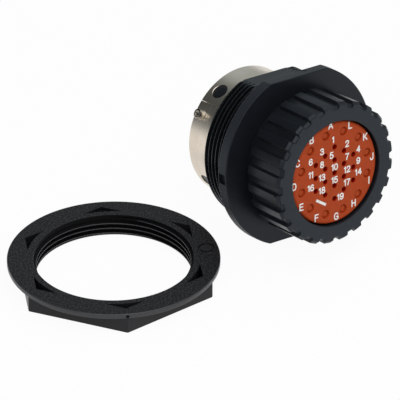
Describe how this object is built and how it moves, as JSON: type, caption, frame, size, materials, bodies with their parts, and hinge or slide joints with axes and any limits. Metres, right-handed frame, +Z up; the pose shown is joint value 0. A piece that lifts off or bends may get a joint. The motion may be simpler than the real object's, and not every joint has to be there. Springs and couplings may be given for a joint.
{
  "type": "circular connector",
  "caption": "Panel receptacle of a circular bayonet connector: ribbed rear ring, drilled wire-seal grommet, flatted flange, plated bayonet shell, with its panel nut beside it.",
  "frame": {"origin": "on the connector's axis, in the plane of the flange's seat, where the panel thread starts", "axes": "+Z up; the wire end points towards -Y and tilts up by the angle at which the connector lies; the panel nut lies on the -X side"},
  "size_m": [0.1146, 0.0647, 0.0514],
  "materials": {
    "housing_plastic": "moulded black polyamide, satin",
    "ring_plastic": "moulded black polyamide, satin",
    "nut_plastic": "moulded black polyamide, spark-grained face",
    "shell_metal": "rolled sheet, satin nickel plate",
    "pin_metal": "turned, nickel plated",
    "silicone": "moulded red-orange silicone, matt",
    "insert_plastic": "moulded dark thermoplastic",
    "retention_plastic": "moulded dark thermoplastic",
    "follower_plastic": "moulded dark acetal"
  },
  "bodies": {
    "receptacle": {"housing": "housing_plastic", "bayonet_shell": "shell_metal", "bayonet_pin_1": "pin_metal", "bayonet_pin_2": "pin_metal", "bayonet_pin_3": "pin_metal", "interface_seal": "silicone", "front_insert": "insert_plastic", "retention_disc": "retention_plastic", "rear_insert": "insert_plastic", "wire_grommet": "silicone", "panel_nut": "nut_plastic"},
    "follower": {"grommet_follower": "follower_plastic"},
    "ring": {"grip_ring": "ring_plastic"}
  },
  "joints": [
    {"name": "ring_travel", "type": "slide", "parent": "receptacle", "child": "follower", "axis": [0, -0.992, 0.1262], "range_m": [0, 0.006]},
    {"name": "ring_turn", "type": "hinge", "parent": "follower", "child": "ring", "pos_m": [0, 0, 0], "axis": [0, -0.992, 0.1262], "range_deg": [0, 1440]}
  ],
  "couplings": [
    {"joint": "ring_travel", "follows": "ring_turn", "m_per_rad": 0.00023873}
  ]
}
